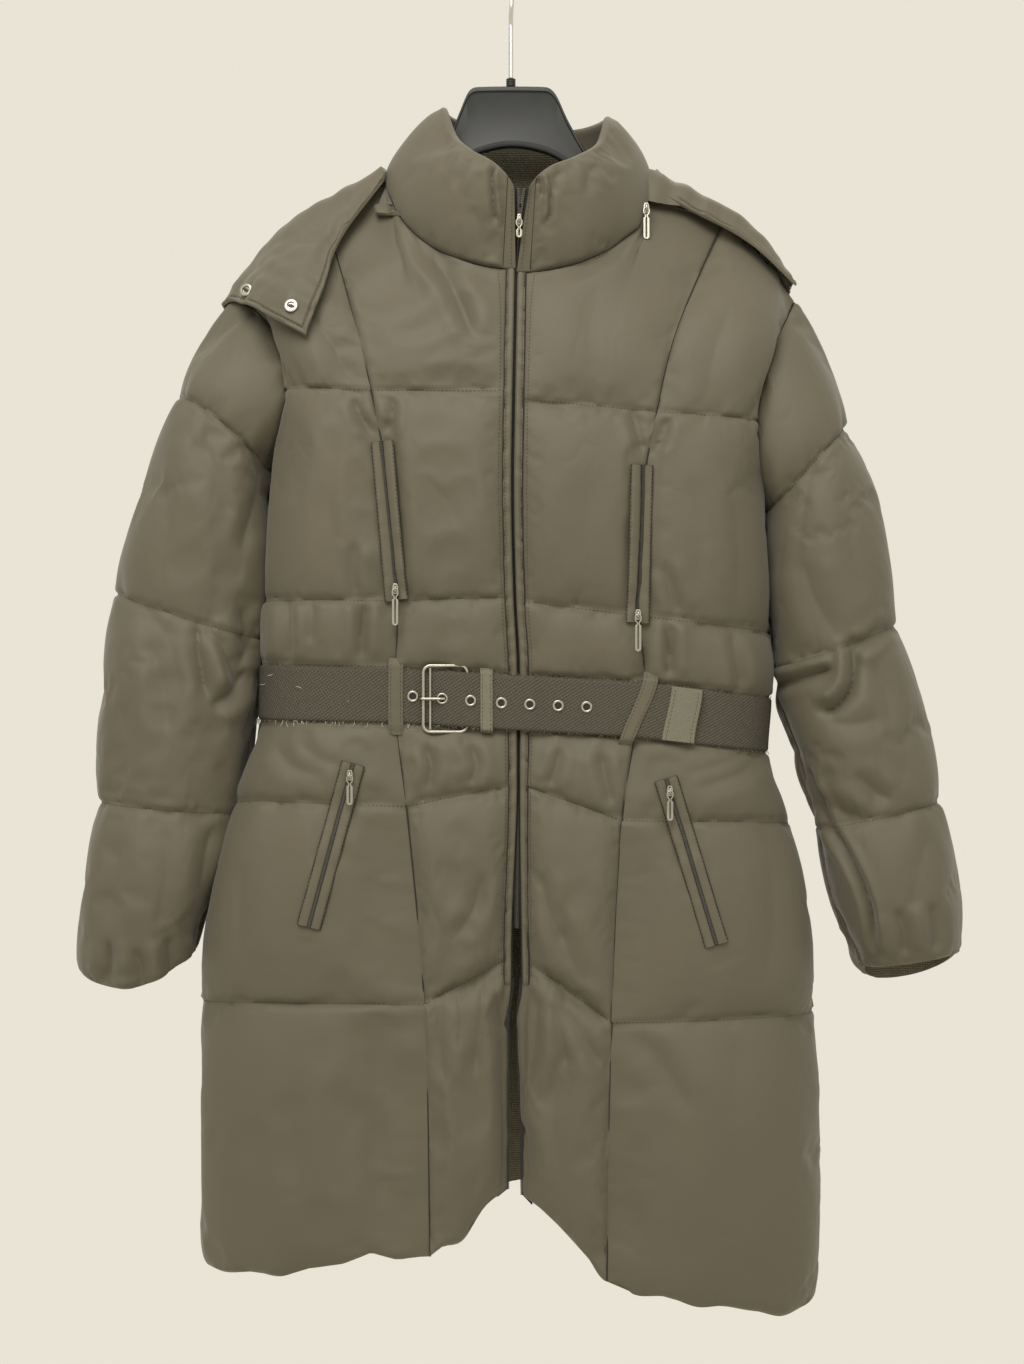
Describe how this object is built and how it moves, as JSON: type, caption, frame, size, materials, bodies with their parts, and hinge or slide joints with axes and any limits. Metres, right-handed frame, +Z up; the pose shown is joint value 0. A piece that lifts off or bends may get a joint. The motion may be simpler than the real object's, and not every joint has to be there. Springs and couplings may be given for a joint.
{
  "type": "quilted puffer coat on a hanger",
  "caption": "Knee-length quilted puffer coat with stand collar, folded-back hood, zipped pockets and webbing belt, hung on a black plastic hanger with a wire hook.",
  "frame": {"origin": "the inside top of the hanger's hook, where the rail bears", "axes": "+Z up; the coat's front faces -Y; +X is the wearer's left, the viewer's right"},
  "size_m": [0.7722, 0.2402, 1.1733],
  "materials": {
    "shell": "olive satin nylon, quilted",
    "lining": "dull knitted mesh",
    "webbing": "dull twill webbing",
    "ribbon": "dull ribbon",
    "tape": "black woven zip tape",
    "nickel": "bright nickel",
    "hanger_plastic": "black satin",
    "hook_steel": "bright wire"
  },
  "bodies": {
    "coat": {"back": "shell", "belt": "webbing", "belt_keeper": "ribbon", "belt_loop_left": "shell", "belt_loop_right": "shell", "belt_tip_binding": "ribbon", "buckle_frame": "nickel", "buckle_prong": "nickel", "centre_slider": "nickel", "chest_left_slider": "nickel", "chest_left_welt": "shell", "chest_right_slider": "nickel", "chest_right_welt": "shell", "collar": "shell", "collar_chain": "tape", "collar_tape_left": "tape", "collar_tape_right": "tape", "eyelet_1": "nickel", "eyelet_2": "nickel", "eyelet_3": "nickel", "eyelet_4": "nickel", "eyelet_5": "nickel", "eyelet_6": "nickel", "eyelet_7": "nickel", "front_centre_left": "shell", "front_centre_right": "shell", "front_side_left": "shell", "front_side_right": "shell", "hanger_hook": "hook_steel", "hanger_shoulder": "hanger_plastic", "hip_left_slider": "nickel", "hip_left_welt": "shell", "hip_right_slider": "nickel", "hip_right_welt": "shell", "hood": "shell", "hood_snap_1": "nickel", "hood_snap_2": "nickel", "hood_tab_left": "shell", "hood_tab_right": "shell", "hood_zip_slider": "nickel", "hook_socket": "hanger_plastic", "neck_lining": "lining", "placket_left": "shell", "placket_right": "shell", "sleeve_under_left": "shell", "sleeve_under_right": "shell", "sleeve_upper_left": "shell", "sleeve_upper_right": "shell", "zip_chain": "tape", "zip_tape_left": "tape", "zip_tape_right": "tape"},
    "centre_pull": {"centre_pull": "nickel"},
    "chest_left_pull": {"chest_left_pull": "nickel"},
    "chest_right_pull": {"chest_right_pull": "nickel"},
    "hip_left_pull": {"hip_left_pull": "nickel"},
    "hip_right_pull": {"hip_right_pull": "nickel"},
    "hood_zip_pull": {"hood_zip_pull": "nickel"}
  },
  "joints": [
    {"name": "centre_pull_swing", "type": "hinge", "parent": "coat", "child": "centre_pull", "pos_m": [0.00611, -0.07382, -0.24102], "axis": [-1, 0, 0], "range_deg": [0, 110]},
    {"name": "chest_left_pull_swing", "type": "hinge", "parent": "coat", "child": "chest_left_pull", "pos_m": [0.10618, -0.09634, -0.57835], "axis": [-1, 0, 0], "range_deg": [0, 110]},
    {"name": "chest_right_pull_swing", "type": "hinge", "parent": "coat", "child": "chest_right_pull", "pos_m": [-0.09834, -0.0969, -0.55662], "axis": [-1, 0, 0], "range_deg": [0, 110]},
    {"name": "hip_left_pull_swing", "type": "hinge", "parent": "coat", "child": "hip_left_pull", "pos_m": [0.13294, -0.09769, -0.72673], "axis": [-1, 0, 0], "range_deg": [0, 110]},
    {"name": "hip_right_pull_swing", "type": "hinge", "parent": "coat", "child": "hip_right_pull", "pos_m": [-0.13659, -0.09736, -0.71359], "axis": [-1, 0, 0], "range_deg": [0, 110]},
    {"name": "hood_zip_pull_swing", "type": "hinge", "parent": "coat", "child": "hood_zip_pull", "pos_m": [0.1165, -0.03481, -0.224], "axis": [-1, 0, 0], "range_deg": [0, 110]}
  ]
}
